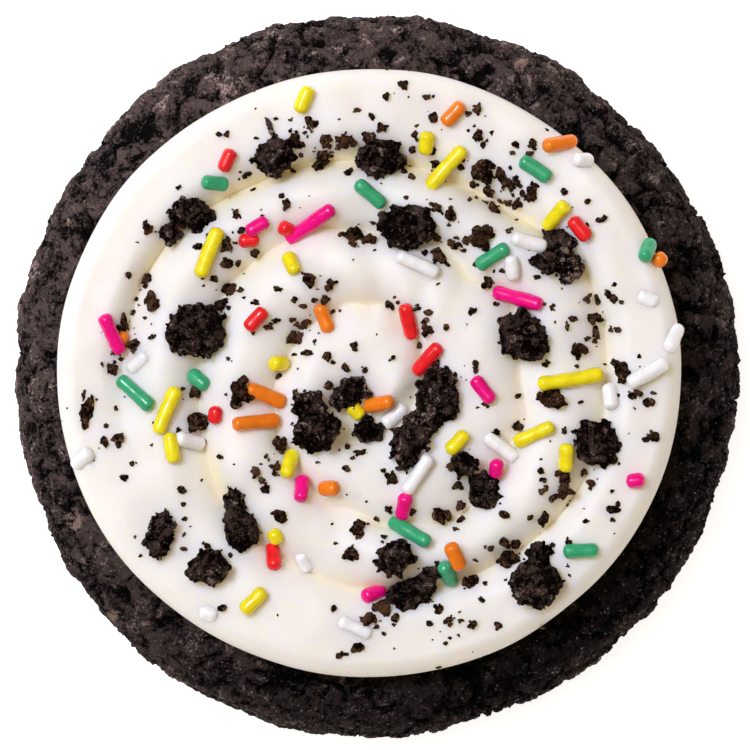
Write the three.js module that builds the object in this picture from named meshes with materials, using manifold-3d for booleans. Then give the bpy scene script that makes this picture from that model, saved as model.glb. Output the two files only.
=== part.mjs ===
// A thick chocolate cookie, 108 mm across, under one clockwise spiral of piped white icing, which is scattered
// with sugar sprinkles and broken biscuit. Millimetres, +Z up. The origin is the middle of the flat foot.
import * as THREE from "three";
import { mergeVertices } from "three/addons/utils/BufferGeometryUtils.js";
import Module from "manifold-3d";

const wasm = await Module();
wasm.setup();
const { degToRad, lerp, seededRandom, smoothstep } = THREE.MathUtils;

// ---- Driving dimensions: millimetres, and degrees where the comment says so ----

const COOKIE = {
  radius: 54, // at the widest line of the side
  widestHeight: 6.5,
  footRadius: 50, // flat underside
  seatRadius: 46, // flat top that carries the icing
  seatHeight: 16,
  crag: 0.42, // how far the baked surface strays from its profile
  swells: [
    [3, 0.6],
    [7, 0.5],
    [17, 0.4],
  ], // slow bulges of the outline: how many round it, and how strong as a share of crag
  sides: 90,
  lowerBands: 3, // foot to widest line
  upperBands: 6, // widest line to seat
};

const ICING = {
  centre: [-1.2, 0.6], // the icing lies a little up and to the left of the cookie's middle
  radii: [46.8, 45.6], // of its slightly oval outline
  foot: 16.3, // clear of the cookie's seat
  crest: 24.6, // top of the outer turn
  innerRise: 0.9, // how much higher the inner turns stand
  riseFrom: 200, // degrees of turn over which the rope climbs to that
  riseTo: 600,
  wave: 0.3, // uneven height along the rope
  wavesPerTurn: 5.3,
  edgeRound: 3.8, // how far in from the outline its rounded edge reaches
  edgeDrop: 0.8, // from the crest down to the top of that edge
  edgeTuck: 60, // degrees that the edge curls under
  edgeBands: 4,
};

const SWIRL = {
  centre: [1.05, -1.2], // of the spiral
  start: -60, // degrees clockwise from the left, where the rope begins at the rim
  end: 870, // where its last turn closes round the pit
  step: 6,
  across: 6, // faces from one groove to the next
  openFrom: -30, // the groove is closed here, as the rope's tail is pressed flat
  openTo: 20, // and fully open here
  depth: 2.3, // of the groove along most of its length
  gape: 2.2, // extra depth where the first two turns lie apart
  gapeAngle: 65,
  gapeSpread: 36,
};

// Distance of the groove from the spiral's centre, every 30 degrees from the rope's start to its end.
const GROOVE_STEP = 30;
const GROOVE_RADII = [
  41.2, 40.2, 39.3, 39.3, 38.3, 37.2, 36.0, 32.7, 32.0, 32.7, 31.5, 30.8, 30.0, 29.3, 27.9, 26.7,
  26.3, 22.5, 21.0, 20.0, 19.5, 20.1, 21.3, 21.0, 19.5, 17.7, 15.5, 15.0, 13.5, 11.7, 9.0, 6.8,
];

// The hollow in the middle: rings from the last groove inwards, as a share of the way out and a drop.
const PIT = {
  centre: [-3.3, -6.2],
  rings: [
    [0.72, 0.3],
    [0.36, 1.2],
  ],
  depth: 3.2,
};

const GAP = 0.3; // between pieces that touch
const SPRINKLE = { diameter: 1.9, sides: 6, taper: 0.6, sink: 0.45 };
const CRUMB = { rough: 0.16, flatness: 0.8, lift: 0.15 };
const CHUNK = { rough: 0.1, tallness: 0.84, lift: 0.22, fineFrom: 8.5 };

const FINISH = {
  cookie: { color: 0x1d1716, roughness: 0.9 },
  frosting: { color: 0xf8f5ef, roughness: 0.45 },
  chunk: { color: 0x1a1412, roughness: 0.85 },
};

// ---- Where the toppings lie ----

// Sprinkles: middle x, middle y, bearing in degrees from +X, length.
const SPRINKLES = {
  yellow: [
    [-10.9, 41.5, 67, 3.9], [7.4, 35.0, 82, 3.3], [10.4, 31.3, 48, 7.9], [-25.1, 18.6, 68, 7.7],
    [-12.8, 17.0, 113, 3.4], [26.8, 24.1, 50, 5.3], [29.0, -0.3, 9, 9.9], [-14.7, 2.0, 3, 3.0],
    [-31.4, -5.0, 67, 7.3], [-30.7, -10.6, 100, 4.3], [12.0, -9.8, 47, 3.9], [23.5, -8.6, 24, 6.4],
    [28.3, -12.1, 88, 4.1], [-13.1, -13.0, 73, 4.6], [-15.2, -23.9, 120, 2.1], [-18.5, -33.5, 45, 4.5],
  ],
  orange: [
    [11.4, 39.4, 48, 4.0], [27.4, 35.0, 11, 5.6], [-7.9, 8.8, 111, 4.2], [-16.6, -2.8, 158, 6.3],
    [-18.1, -6.8, 5, 7.4], [0.3, -4.0, 11, 4.6], [-7.2, -16.7, 3, 3.0], [11.7, -26.9, 114, 4.4],
  ],
  red: [
    [-22.4, 32.4, 66, 3.3], [-19.2, 20.5, 7, 2.4], [30.4, 22.2, 130, 3.9], [-18.1, 8.6, 48, 3.8],
    [4.7, 8.3, 104, 5.4], [7.6, 2.6, 49, 5.7], [-24.2, -5.7, 86, 2.4], [-15.5, -26.9, 96, 4.1],
  ],
  pink: [
    [-10.0, 22.9, 35, 8.9], [-17.9, 22.5, 32, 3.4], [21.1, 11.8, 164, 8.0], [-39.6, 6.4, 115, 6.4],
    [15.9, -1.9, 128, 4.4], [38.7, -15.5, 90, 2.0], [4.0, -19.4, 79, 4.0], [-11.3, -16.7, 84, 4.1],
    [-0.5, -32.4, 19, 3.7],
  ],
  green: [
    [-24.3, 29.0, 173, 3.9], [-1.0, 27.4, 140, 5.3], [23.7, 31.1, 146, 5.1], [17.3, 18.0, 33, 5.5],
    [40.5, 19.0, 68, 4.0], [-36.2, -2.4, 138, 6.7], [-26.7, -0.4, 140, 3.5], [4.9, -23.2, 150, 7.3],
    [10.6, -29.5, 117, 4.7], [30.5, -26.0, 2, 5.0],
  ],
  white: [
    [30.8, 32.5, 175, 3.2], [6.1, 16.8, 156, 6.7], [22.8, 20.2, 164, 5.3], [20.2, 16.3, 97, 3.5],
    [44.5, 5.8, 67, 5.0], [40.5, 0.6, 30, 6.6], [35.0, -2.9, 97, 3.8], [-35.7, 2.2, 43, 3.7],
    [-28.0, -9.6, 166, 4.8], [2.6, -5.8, 42, 4.2], [18.6, -10.6, 144, 5.6], [6.1, -14.6, 56, 6.5],
    [-3.3, -37.6, 156, 5.2], [-44.1, -12.3, 39, 3.8],
  ],
};

// Larger crumbs of biscuit: x, y, width, depth.
const CRUMBS = [
  [-20.6, -2.2, 4.2, 4.2], [-27.3, -7.2, 5.1, 3.6], [-43.5, -5.1, 2.4, 6.3], [-38.7, -9.3, 2.4, 2.4],
  [-39.6, 1.3, 2.5, 2.5], [-36.6, 4.8, 2.5, 2.5], [-33.8, 10.8, 2.7, 3.8], [-22.3, 12.9, 2.5, 2.5],
  [-14.8, -20.8, 2.5, 2.5], [-3.1, -22.9, 3.0, 3.0], [-4.0, -26.6, 2.7, 2.7], [9.4, -20.8, 2.7, 3.9],
  [14.1, -30.9, 2.7, 3.6], [0.8, -34.6, 2.7, 2.7], [-1.3, -36.4, 2.7, 2.7], [19.5, -27.0, 3.8, 3.8],
  [24.9, -21.1, 1.8, 3.0], [35.4, -19.9, 2.7, 2.1], [26.1, -3.4, 5.0, 3.9], [36.6, 0.9, 3.3, 3.9],
  [30.4, 4.2, 3.0, 3.0], [32.4, 8.8, 3.0, 2.4], [27.8, -17.1, 3.0, 3.0], [15.6, 20.7, 3.8, 3.8],
  [-12.6, 6.1, 3.1, 2.7], [7.3, 7.2, 2.7, 2.2], [2.2, -15.1, 2.1, 2.7], [-14.8, -10.3, 2.7, 3.0],
  [-4.6, 35.4, 2.7, 3.0], [-7.8, 35.2, 2.7, 2.7], [-8.2, 32.5, 3.3, 2.4], [16.1, 30.9, 4.5, 3.9],
  [-3.6, 21.3, 3.0, 3.9], [23.2, 27.6, 2.4, 3.3], [18.8, 29.7, 2.4, 3.6],
];

// Chunks of biscuit, each of one to three lobes: x, y, length, width, bearing of the length in degrees.
const CHUNKS = [
  [[9.0, -2.9, 8.4, 6.3, 85], [5.4, -9.2, 10.2, 5.4, 62]],
  [[-9.0, -7.9, 7.2, 6.3, 60], [-10.3, -3.8, 5.1, 3.9, 20]],
  [[-4.2, -2.4, 6.3, 3.9, 30]],
  [[-1.2, -8.1, 4.8, 3.3, -15]],
  [[-27.0, 7.0, 9.0, 7.8, 10]],
  [[4.3, 22.6, 9.0, 6.6, 0]],
  [[0.4, 33.0, 6.9, 6.3, 20]],
  [[-15.4, 33.3, 6.3, 5.7, 30]],
  [[26.8, 19.8, 5.7, 4.8, 40], [28.6, 15.8, 4.5, 3.6, 60], [25.2, 17.2, 3.9, 3.3, 0]],
  [[21.9, 6.1, 8.7, 6.6, -40]],
  [[33.0, -9.8, 7.8, 6.9, -30]],
  [[23.7, -30.9, 7.8, 7.2, 0], [24.4, -26.7, 4.2, 3.6, 60]],
  [[5.0, -32.4, 6.9, 5.1, 10], [7.9, -29.8, 3.6, 2.7, 40]],
  [[2.7, -27.0, 6.0, 5.1, 45]],
  [[-20.1, -21.6, 10.2, 5.4, 97]],
  [[-25.2, -28.6, 6.3, 5.4, 10]],
  [[-32.4, -23.6, 6.6, 4.2, 80]],
  [[13.0, -13.0, 4.2, 3.6, 0], [16.2, -16.9, 6.0, 4.8, -60]],
  [[-28.1, 24.8, 6.9, 5.4, 20], [-31.3, 21.6, 4.5, 3.6, -40]],
];

// ---- Meshes and solids ----

// Collects points and outward faces, and gives them back as a geometry.
class Shell {
  points = [];
  faces = [];

  point(x, y, z) {
    return this.points.push(x, y, z) / 3 - 1;
  }

  triangle(a, b, c) {
    if (a !== b && b !== c && c !== a) this.faces.push(a, b, c);
  }

  // The strip between two rows of points, the second of which lies to the left of the first.
  strip(from, to) {
    for (let i = 0; i + 1 < from.length; i++) {
      this.triangle(from[i], from[i + 1], to[i + 1]);
      this.triangle(from[i], to[i + 1], to[i]);
    }
  }

  geometry() {
    const position = new THREE.Float32BufferAttribute(this.points, 3);
    return new THREE.BufferGeometry().setAttribute("position", position).setIndex(this.faces);
  }
}

// Random share between -1 and 1, from the seed last set with seededRandom.
const stray = () => 2 * seededRandom() - 1;

// A closed geometry with its shared points merged and its collapsed faces dropped.
function closed(geometry) {
  const bare = geometry.clone().deleteAttribute("normal").deleteAttribute("uv");
  const merged = mergeVertices(bare, 1e-4);
  const shell = new Shell();
  shell.points = Array.from(merged.attributes.position.array);
  for (let i = 0; i < merged.index.count; i += 3) {
    shell.triangle(merged.index.getX(i), merged.index.getX(i + 1), merged.index.getX(i + 2));
  }
  return shell.geometry();
}

function solidOf(geometry) {
  const whole = closed(geometry);
  const vertProperties = whole.attributes.position.array;
  const triVerts = new Uint32Array(whole.index.array);
  return new wasm.Manifold(new wasm.Mesh({ numProp: 3, vertProperties, triVerts }));
}

// The largest body of a solid as a geometry, without loose scraps or sealed hollows.
function geometryOf(solid) {
  const body = solid.decompose().reduce((best, next) => (next.volume() > best.volume() ? next : best));
  const mesh = body.getMesh();
  return new THREE.BufferGeometry()
    .setAttribute("position", new THREE.BufferAttribute(mesh.vertProperties, 3))
    .setIndex(new THREE.BufferAttribute(mesh.triVerts, 1));
}

function named(name, geometry, finish) {
  geometry.computeVertexNormals();
  const mesh = new THREE.Mesh(geometry, new THREE.MeshStandardMaterial({ ...finish, metalness: 0 }));
  mesh.name = name;
  return mesh;
}

// A ball of facets whose points stray in and out, one unit in radius.
function roughBall(detail, rough) {
  const ball = closed(new THREE.IcosahedronGeometry(1, detail));
  const point = new THREE.Vector3();
  for (let i = 0; i < ball.attributes.position.count; i++) {
    point.fromBufferAttribute(ball.attributes.position, i).multiplyScalar(1 + rough * stray());
    ball.attributes.position.setXYZ(i, ...point);
  }
  return ball;
}

// ---- Cookie: a flat foot, a bulging side and a rounded shoulder that runs in to a flat seat ----

function cookieProfile() {
  const { radius, widestHeight, footRadius, seatRadius, seatHeight, lowerBands, upperBands } = COOKIE;
  const profile = [];
  for (let band = -lowerBands; band <= upperBands; band++) {
    const lower = band < 0;
    const angle = ((Math.PI / 2) * band) / (lower ? lowerBands : upperBands);
    const inner = lower ? footRadius : seatRadius;
    const rise = lower ? widestHeight : seatHeight - widestHeight;
    profile.push([inner + (radius - inner) * Math.cos(angle), widestHeight + rise * Math.sin(angle)]);
  }
  return profile;
}

function cookieGeometry() {
  seededRandom(11);
  const shell = new Shell();
  const profile = cookieProfile();
  const columns = [];
  for (let side = 0; side < COOKIE.sides; side++) {
    const turn = (2 * Math.PI * side) / COOKIE.sides;
    const swell = COOKIE.swells.reduce((sum, [count, share]) => sum + share * Math.sin(count * (turn + 1)), 0);
    const column = profile.map(([reach, height], band) => {
      const flat = band === 0 || band === profile.length - 1;
      const out = reach + COOKIE.crag * (swell + stray());
      const up = flat ? height : height + COOKIE.crag * stray();
      return shell.point(out * Math.cos(turn), out * Math.sin(turn), up);
    });
    columns.push(column);
  }
  const foot = shell.point(0, 0, 0);
  const seat = shell.point(0, 0, COOKIE.seatHeight);
  columns.forEach((column, side) => {
    const next = columns[(side + 1) % COOKIE.sides];
    shell.strip([seat, ...column.toReversed(), foot], [seat, ...next.toReversed(), foot]);
  });
  const geometry = shell.geometry();
  geometry.computeBoundingBox();
  const middle = geometry.boundingBox.getCenter(new THREE.Vector3());
  return geometry.translate(-middle.x, -middle.y, 0);
}

// ---- Icing: a rope in a spiral, from the rim at the lower left clockwise to a pit in the middle ----

const lastGroove = SWIRL.start + GROOVE_STEP * (GROOVE_RADII.length - 1);
const grooveLine = new THREE.SplineCurve(GROOVE_RADII.map((radius) => new THREE.Vector2(radius, 0)));
const grooveRadius = (turn) => grooveLine.getPoint((turn - SWIRL.start) / (lastGroove - SWIRL.start)).x;

// Degrees run clockwise from the left, as seen from above.
const heading = (turn) => [-Math.cos(degToRad(turn)), Math.sin(degToRad(turn))];

// Distance from the spiral's centre out to the icing's oval outline.
function outlineRadius(turn) {
  const [dx, dy] = heading(turn);
  const [width, depth] = ICING.radii;
  const x = SWIRL.centre[0] - ICING.centre[0];
  const y = SWIRL.centre[1] - ICING.centre[1];
  const a = (dx / width) ** 2 + (dy / depth) ** 2;
  const b = (x * dx) / width ** 2 + (y * dy) / depth ** 2;
  const c = (x / width) ** 2 + (y / depth) ** 2 - 1;
  return (-b + Math.sqrt(b * b - a * c)) / a;
}

function crestHeight(turn) {
  const unevenness = ICING.wave * Math.sin(ICING.wavesPerTurn * degToRad(turn));
  return ICING.crest + ICING.innerRise * smoothstep(turn, ICING.riseFrom, ICING.riseTo) + unevenness;
}

function grooveHeight(turn) {
  const apart = (turn - SWIRL.gapeAngle) / SWIRL.gapeSpread;
  const depth = SWIRL.depth + SWIRL.gape * Math.exp(-apart * apart);
  return crestHeight(turn) - depth * smoothstep(turn, SWIRL.openFrom, SWIRL.openTo);
}

// A point of the rounded edge, at an angle that runs from under the rim to the top of the edge.
function edgePoint(turn, angle) {
  const tuck = Math.sin(degToRad(ICING.edgeTuck));
  const share = (Math.sin(degToRad(angle)) + tuck) / (1 + tuck);
  const top = crestHeight(turn) - ICING.edgeDrop;
  const inset = ICING.edgeRound * (1 - Math.cos(degToRad(angle)));
  return [outlineRadius(turn) - inset, lerp(ICING.foot, top, share)];
}

function icingGeometry() {
  const shell = new Shell();
  const place = (turn, [radius, height]) => {
    const [dx, dy] = heading(turn);
    return shell.point(SWIRL.centre[0] + radius * dx, SWIRL.centre[1] + radius * dy, height);
  };
  const turns = 360 / SWIRL.step;

  // The edge, from under the rim up to the line where the rope's top begins.
  const edge = [];
  for (let i = 0; i < turns; i++) {
    const column = [];
    for (let band = 0; band <= ICING.edgeBands; band++) {
      const angle = lerp(-ICING.edgeTuck, 90, band / ICING.edgeBands);
      column.push(place(SWIRL.start + i * SWIRL.step, edgePoint(SWIRL.start + i * SWIRL.step, angle)));
    }
    edge.push(column);
  }
  const under = shell.point(...ICING.centre, ICING.foot);
  edge.forEach((column, i) => {
    const next = edge[(i + 1) % turns];
    shell.strip(column, next);
    shell.triangle(under, column[0], next[0]);
  });

  // The rope's rounded top, turn by turn: each column runs from the groove outside it to the groove inside it.
  const edgeTop = edge.map((column) => column.at(-1));
  const columns = [];
  for (let i = 0; SWIRL.start + i * SWIRL.step <= SWIRL.end; i++) {
    const turn = SWIRL.start + i * SWIRL.step;
    const outermost = i < turns;
    const outerIndex = outermost ? edgeTop[i] : columns[i - turns].at(-1);
    if (i === 0) {
      columns.push(Array(SWIRL.across + 1).fill(outerIndex));
      continue;
    }
    const outer = outermost ? edgePoint(turn, 90) : [grooveRadius(turn - 360), grooveHeight(turn - 360)];
    const inner = [grooveRadius(turn), grooveHeight(turn)];
    const crest = crestHeight(turn);
    const column = [outerIndex];
    for (let j = 1; j <= SWIRL.across; j++) {
      const share = (2 * j) / SWIRL.across - 1; // -1 at the outer groove, 1 at the inner one
      const fall = share * share * (crest - (share < 0 ? outer[1] : inner[1]));
      column.push(place(turn, [lerp(outer[0], inner[0], (share + 1) / 2), crest - fall]));
    }
    shell.strip(columns.at(-1), column);
    columns.push(column);
  }

  // The middle, from the last turn's groove and the rope's end in to the pit.
  const lastGrooves = columns.slice(-turns - 1).map((column) => column.at(-1));
  const border = [...lastGrooves, ...columns.at(-1).slice(1, -1).reverse()];
  const crest = crestHeight(SWIRL.end);
  const [pitX, pitY] = PIT.centre;
  const inwards = ([share, drop]) =>
    border.map((index) => {
      const x = lerp(pitX, shell.points[3 * index], share);
      const y = lerp(pitY, shell.points[3 * index + 1], share);
      return shell.point(x, y, crest - drop);
    });
  const pit = shell.point(pitX, pitY, crest - PIT.depth);
  const rings = [border, ...PIT.rings.map(inwards), border.map(() => pit)];
  border.forEach((_, i) => {
    const next = (i + 1) % border.length;
    shell.strip(rings.map((ring) => ring[i]), rings.map((ring) => ring[next]));
  });
  return shell.geometry();
}

const icing = new THREE.Mesh(icingGeometry());
const above = new THREE.Raycaster();

// Height of the icing's surface over a point, or undefined beside it.
function icingHeight(x, y) {
  above.set(new THREE.Vector3(x, y, 2 * ICING.crest), new THREE.Vector3(0, 0, -1));
  return above.intersectObject(icing)[0]?.point.z;
}

// ---- Toppings: chunks that lie on the icing, and sprinkles and crumbs that are stuck in it ----

function lobeGeometry([x, y, length, width, bearing]) {
  const around = [[0, 0], [1, 0], [-1, 0], [0, 1], [0, -1]];
  const heights = around.map(([dx, dy]) => icingHeight(x + (dx * width) / 4, y + (dy * width) / 4));
  const ground = heights.reduce((sum, height) => sum + height) / heights.length;
  return roughBall(length < CHUNK.fineFrom ? 1 : 2, CHUNK.rough)
    .scale(length / 2, width / 2, (CHUNK.tallness * width) / 2)
    .rotateZ(degToRad(bearing))
    .translate(x, y, ground + CHUNK.lift * width);
}

function chunkSolid(lobes) {
  const whole = lobes.map((lobe) => solidOf(lobeGeometry(lobe))).reduce((sum, lobe) => sum.add(lobe));
  const raised = icing.geometry.clone().translate(0, 0, GAP);
  return whole.subtract(solidOf(raised));
}

// A round-ended rod, grown by some clearance, lying along the icing under its ends and its middle.
function sprinkleGeometry([x, y, bearing, length], clearance = 0) {
  const radius = SPRINKLE.diameter / 2 + clearance;
  const half = length / 2 + clearance;
  const along = new THREE.Vector3(Math.cos(degToRad(bearing)), Math.sin(degToRad(bearing)), 0);
  const reach = Math.max(length - SPRINKLE.diameter, SPRINKLE.diameter / 2) / 2;
  const middle = icingHeight(x, y);
  const near = icingHeight(x - reach * along.x, y - reach * along.y) ?? middle;
  const far = icingHeight(x + reach * along.x, y + reach * along.y) ?? middle;
  const hump = Math.max(0, middle - (near + far) / 2);
  along.z = (far - near) / (2 * reach);
  const cone = SPRINKLE.taper * radius;
  const profile = [[0, -half], [radius, cone - half], [radius, half - cone], [0, half]];
  const outline = profile.map(([across, up]) => new THREE.Vector2(across, up));
  const tilt = new THREE.Quaternion().setFromUnitVectors(new THREE.Vector3(0, 1, 0), along.normalize());
  return new THREE.LatheGeometry(outline, SPRINKLE.sides)
    .applyQuaternion(tilt)
    .translate(x, y, (near + far) / 2 + hump + SPRINKLE.sink * (SPRINKLE.diameter / 2));
}

function crumbGeometry([x, y, width, depth], clearance = 0) {
  const height = CRUMB.flatness * Math.min(width, depth);
  return roughBall(0, CRUMB.rough)
    .scale(width / 2 + clearance, depth / 2 + clearance, height / 2 + clearance)
    .translate(x, y, icingHeight(x, y) + CRUMB.lift * height);
}

// The icing with every sprinkle and crumb that stays clear of the chunks joined to it.
function frostingSolid(chunks) {
  const stuck = [
    ...Object.values(SPRINKLES).flat().map((row) => (clearance) => sprinkleGeometry(row, clearance)),
    ...CRUMBS.map((row) => (clearance) => crumbGeometry(row, clearance)),
  ];
  return stuck.reduce((sum, topping) => {
    const room = solidOf(topping(GAP));
    const crosses = chunks.some((chunk) => chunk.intersect(room).volume() > 0);
    return crosses ? sum : sum.add(solidOf(topping(0)));
  }, solidOf(icing.geometry));
}

// ---- The object ----

const cookieCake = new THREE.Group();
cookieCake.add(named("cookie", cookieGeometry(), FINISH.cookie));

seededRandom(23);
const chunkSolids = CHUNKS.map(chunkSolid);
cookieCake.add(named("frosting", geometryOf(frostingSolid(chunkSolids)), FINISH.frosting));
chunkSolids.forEach((solid, i) => {
  const number = String(i + 1).padStart(2, "0");
  cookieCake.add(named(`chunk_${number}`, geometryOf(solid), FINISH.chunk));
});

export default cookieCake;
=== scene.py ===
# A thick chocolate cookie under a spiral of piped white icing, with sugar rods and broken biscuit.
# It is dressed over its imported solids, in metres. Sizes are written in millimetres times MM.
import math
import random

import bmesh
import bpy
from mathutils import Euler, Matrix, Vector, noise
from mathutils.bvhtree import BVHTree


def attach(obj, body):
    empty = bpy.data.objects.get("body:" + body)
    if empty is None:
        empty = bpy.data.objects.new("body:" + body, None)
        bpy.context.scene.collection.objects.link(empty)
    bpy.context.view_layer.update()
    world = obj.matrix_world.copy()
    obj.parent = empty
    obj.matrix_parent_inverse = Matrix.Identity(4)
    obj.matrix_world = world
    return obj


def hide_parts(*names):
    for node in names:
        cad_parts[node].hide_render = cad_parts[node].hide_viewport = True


MM = 0.001
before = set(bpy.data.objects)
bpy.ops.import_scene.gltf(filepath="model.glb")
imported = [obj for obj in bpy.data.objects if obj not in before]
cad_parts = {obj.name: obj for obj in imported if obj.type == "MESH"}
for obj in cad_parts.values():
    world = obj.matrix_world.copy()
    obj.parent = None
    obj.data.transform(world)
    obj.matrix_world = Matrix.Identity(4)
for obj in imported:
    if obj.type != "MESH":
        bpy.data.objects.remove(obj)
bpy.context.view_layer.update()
scene = bpy.context.scene


# ---- The table, the light and the camera ----
# The cookie lies on a plain white light table, seen from straight above. Three square lamps light it from its
# upper left, the widest of them nearly overhead, and a warm room fills the shadows.

PHOTO_WIDTH = 112.5 * MM  # what the picture spans at the height of the icing
PHOTO_CENTRE = (-0.3 * MM, 0.3 * MM)
ICING_LEVEL = 20 * MM
CAMERA_LENS = 800.0
CAMERA_SENSOR = 36.0
TABLE_RADIUS = 4.0
TABLE_SIDES = 96
TABLE_PAINT = (0.6, 0.6, 0.6, 1.0)
TABLE_ROUGHNESS = 0.85
TABLE_GLOW = 0.85  # the light that comes through the table
TABLE_GLOW_COLOUR = (1.0, 1.0, 1.0, 1.0)
ROOM_COLOUR = (1.0, 0.70, 0.33, 1.0)
ROOM_STRENGTH = 0.25
# Lamps: place in metres, size, power and colour.
LAMPS = {
    "key": (Vector((-0.94, 0.67, 2.17)), 0.56, 23.0, (0.855, 0.945, 1.27)),
    "side": (Vector((-1.06, 0.60, 1.95)), 1.6, 16.0, (0.915, 0.945, 0.99)),
    "bank": (Vector((-0.70, 0.45, 3.10)), 2.4, 31.5, (0.935, 0.945, 0.93)),
}


def shader(name):
    """A material with nothing in it but its Principled shader, and that shader."""
    material = bpy.data.materials.new(name)
    material.use_nodes = True
    return material, material.node_tree.nodes["Principled BSDF"]


def lamp(name, place, size, power, colour):
    """A square lamp at a place, turned towards the cookie."""
    light = bpy.data.lights.new(name, "AREA")
    light.size = size
    light.energy = power
    light.color = colour
    holder = bpy.data.objects.new(name, light)
    holder.location = place
    holder.rotation_euler = (-place).to_track_quat("-Z", "Y").to_euler()
    scene.collection.objects.link(holder)


def new_piece(name, points, faces=(), edges=()):
    """A mesh object at the origin from points in metres."""
    mesh = bpy.data.meshes.new(name)
    mesh.from_pydata(points, edges, faces)
    mesh.update()
    piece = bpy.data.objects.new(name, mesh)
    scene.collection.objects.link(piece)
    return piece


def circle(radius, sides):
    """Points round the Z axis, at the height of the table."""
    turns = [2 * math.pi * side / sides for side in range(sides)]
    return [(radius * math.cos(turn), radius * math.sin(turn), 0.0) for turn in turns]


table = new_piece("table", circle(TABLE_RADIUS, TABLE_SIDES), [tuple(range(TABLE_SIDES))])
table_paint, paint = shader("table_paint")
paint.inputs["Base Color"].default_value = TABLE_PAINT
paint.inputs["Roughness"].default_value = TABLE_ROUGHNESS
paint.inputs["Emission Color"].default_value = TABLE_GLOW_COLOUR
paint.inputs["Emission Strength"].default_value = TABLE_GLOW
table.data.materials.append(table_paint)

for name, values in LAMPS.items():
    lamp(name, *values)

room = bpy.data.worlds.new("room")
room.use_nodes = True
room.node_tree.nodes["Background"].inputs["Color"].default_value = ROOM_COLOUR
room.node_tree.nodes["Background"].inputs["Strength"].default_value = ROOM_STRENGTH
scene.world = room
scene.view_settings.view_transform = "Standard"

camera = bpy.data.objects.new("camera", bpy.data.cameras.new("camera"))
camera.data.lens = CAMERA_LENS
camera.data.sensor_width = CAMERA_SENSOR
camera.location = (*PHOTO_CENTRE, ICING_LEVEL + PHOTO_WIDTH * CAMERA_LENS / CAMERA_SENSOR)
scene.collection.objects.link(camera)
scene.camera = camera


# ---- Cookie ----
# A thick disc of dark chocolate dough, baked free-standing: a flat foot, a bulging side, a rounded shoulder
# and a flat top under the icing. Its crust is crumbly all over, with lumps, grains and a few fissures.

COOKIE_RADIUS = 54.5 * MM
COOKIE_WIDEST = 6.5 * MM  # height of the widest line
COOKIE_FOOT = 50 * MM
COOKIE_SEAT = 46 * MM
COOKIE_TOP = 15.9 * MM
COOKIE_COLUMNS = 1024
COOKIE_SIDE_ROWS = 76
FOOT_ROWS = (0.02, 0.2, 0.4, 0.6, 0.76, 0.88, 0.96)  # shares of the foot's radius
SEAT_ROWS = (0.97, 0.9, 0.5, 0.02)  # shares of the seat's radius
SEAT_RELIEF = 0.35  # the share of the crust's relief that is left under the icing
# Pale chips that show in the crust: x, y and width in millimetres.
COOKIE_CHIPS = ((-46.0, -21.5, 4.6), (-40.0, -36.0, 2.4), (21.5, 46.8, 2.4), (-46.6, 23.4, 1.6))
CHIP_FADE = (0.5, 1.3)  # where a chip starts and ends to fade, in its own radii
# Painted light and shade: the crust is painted paler on the side towards the lamps, darker on the side away
# from them, and paler again along that far side's outer edge, where light from the table falls.
LIT_SIDE = (-0.64, 0.77)  # the side towards the lamps, painted paler
LIT_SIDE_SWING = 0.92
PAINTED_BOUNCE_RIM = 0.55  # painted light from the table: how much paler the far side is painted along its outer edge
# Slow bulges of the outline: how many round it, their height in millimetres, and the degrees where one peaks.
COOKIE_SWELLS = ((1, 0.3, 130), (3, 0.3, 122), (7, 0.2, 65), (17, 0.15, 20))
# Size and height in millimetres of each kind of relief.
RELIEF_KINDS = ("Lump", "Flake", "Grain", "Crack")
COOKIE_RELIEFS = ((9, 0.7), (2.6, 0.66), (0.85, 0.34), (8, 1.0))
GLINT_SIZE = 0.3 * MM  # of the grains that may glint in baked chocolate
GLINT_SHARE = (0.955, 0.985)  # grains whose random value passes these do


def put(tree, kind, sockets=None, **settings):
    """A node with its settings, and its sockets filled from values or from other nodes' outputs."""
    node = tree.nodes.new(kind)
    for name, value in settings.items():
        setattr(node, name, value)
    for key, value in (sockets or {}).items():
        if isinstance(value, bpy.types.NodeSocket):
            tree.links.new(value, node.inputs[key])
        else:
            node.inputs[key].default_value = value
    return node


def sum_of(tree, operation, first, second=0.0, third=0.0):
    """The output of a Math node."""
    kind = "ShaderNodeMath"
    return put(tree, kind, {0: first, 1: second, 2: third}, operation=operation).outputs[0]


def scaled(tree, vector, factor):
    """A vector or colour made longer or shorter."""
    return put(tree, "ShaderNodeVectorMath", {0: vector, "Scale": factor}, operation="SCALE").outputs[0]


def stretch(tree, value, low, high, to_low=0.0, to_high=1.0):
    """A value's range mapped smoothly to another, and held at its ends."""
    sockets = {"Value": value, "From Min": low, "From Max": high, "To Min": to_low, "To Max": to_high}
    node = put(tree, "ShaderNodeMapRange", sockets, interpolation_type="SMOOTHSTEP")
    return node.outputs["Result"]


def remember(tree, geometry, name, kind, value):
    """A geometry with a value of each point written down under a name."""
    sockets = {"Geometry": geometry, "Name": name, "Value": value}
    return put(tree, "GeometryNodeStoreNamedAttribute", sockets, data_type=kind).outputs[0]


def recall(tree, name, kind):
    """What was written down under a name."""
    return put(tree, "GeometryNodeInputNamedAttribute", {"Name": name}, data_type=kind).outputs[0]


def new_tree(name, inputs):
    """A geometry tree with named inputs, and its input node."""
    tree = bpy.data.node_groups.new(name, "GeometryNodeTree")
    tree.interface.new_socket("Geometry", in_out="INPUT", socket_type="NodeSocketGeometry")
    tree.interface.new_socket("Geometry", in_out="OUTPUT", socket_type="NodeSocketGeometry")
    for label, kind in inputs.items():
        tree.interface.new_socket(label, in_out="INPUT", socket_type=kind)
    return tree, tree.nodes.new("NodeGroupInput").outputs


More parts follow.
